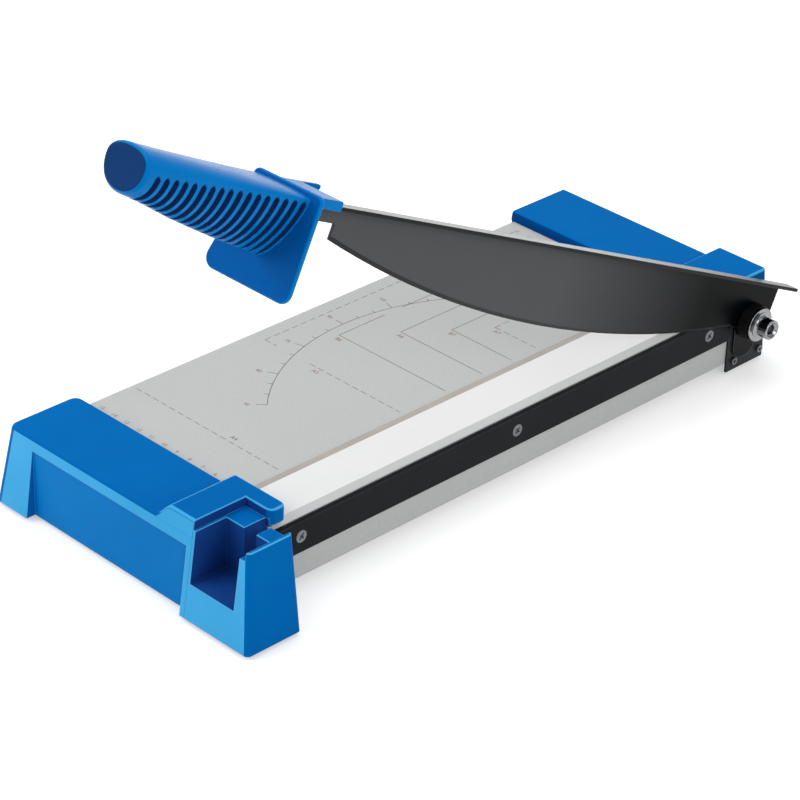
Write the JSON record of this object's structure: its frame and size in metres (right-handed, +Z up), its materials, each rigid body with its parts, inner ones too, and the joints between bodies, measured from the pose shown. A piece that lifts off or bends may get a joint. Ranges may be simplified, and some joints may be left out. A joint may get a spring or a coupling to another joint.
{
  "type": "lever paper cutter",
  "caption": "Desk lever cutter: a flat sheet-metal table between two moulded end caps, a pressing strip, a fixed bed knife and a long curved blade arm with guarded grip.",
  "frame": {"origin": "middle of the stored outline seen from above, at the level of the rubber feet's undersides", "axes": "+X to the operator's right, across the table and past the blade; +Y away from the operator, along the cutting edge to the pivot; +Z up"},
  "size_m": [0.1988, 0.4936, 0.2837],
  "materials": {
    "table_steel": "fine speckled light-grey stove enamel on sheet steel",
    "rail_steel": "plain light-grey enamel",
    "backing_steel": "plain dark steel",
    "cap_plastic": "satin moulded blue plastic",
    "handle_plastic": "satin moulded blue plastic, slightly glossier on the grip",
    "screw_steel": "bright zinc plate",
    "foot_rubber": "matt",
    "knife_steel": "black coated, ground on its top edge",
    "strip_plastic": "polished, whitish clear plastic",
    "pin_steel": "ground",
    "spring_steel": "drawn wire",
    "bracket_steel": "black coated",
    "pivot_chrome": "polished",
    "disc_steel": "black oiled spring steel",
    "blade_steel": "glossy black non-stick coating, ground cutting edge",
    "bush_bronze": "plain sintered bronze"
  },
  "bodies": {
    "base": {"table_sheet": "table_steel", "table_rails": "rail_steel", "backing_bar": "backing_steel", "far_end_cap": "cap_plastic", "near_end_cap": "cap_plastic", "far_cap_screws": "screw_steel", "near_cap_screws": "screw_steel", "rubber_feet": "foot_rubber", "bed_knife": "knife_steel", "bed_knife_screws": "screw_steel", "strip_guide_pins": "pin_steel", "strip_springs": "spring_steel", "pivot_bracket": "bracket_steel", "bearing_plate": "bracket_steel", "bracket_screws": "screw_steel", "pivot_bolt": "pivot_chrome", "pivot_nut": "screw_steel", "nut_washer": "screw_steel", "spring_washers": "disc_steel", "thin_washer": "pivot_chrome", "thick_washer": "pivot_chrome", "head_collar": "pivot_chrome"},
    "strip": {"pressing_strip": "strip_plastic"},
    "arm": {"blade": "blade_steel", "pivot_bush": "bush_bronze", "hand_guard": "handle_plastic", "hand_grip": "handle_plastic", "grip_screws": "screw_steel"}
  },
  "joints": [
    {"name": "arm_hinge", "type": "hinge", "parent": "base", "child": "arm", "pos_m": [0.07171, 0.21429, 0.0335], "axis": [1, 0, 0], "range_deg": [-45, 25.3]},
    {"name": "strip_lift", "type": "slide", "parent": "base", "child": "strip", "axis": [0, 0, 1], "range_m": [0, 0.002], "stiffness_N_per_m": 1500, "springref_m": -0.002, "deforming": ["strip_springs"]}
  ]
}
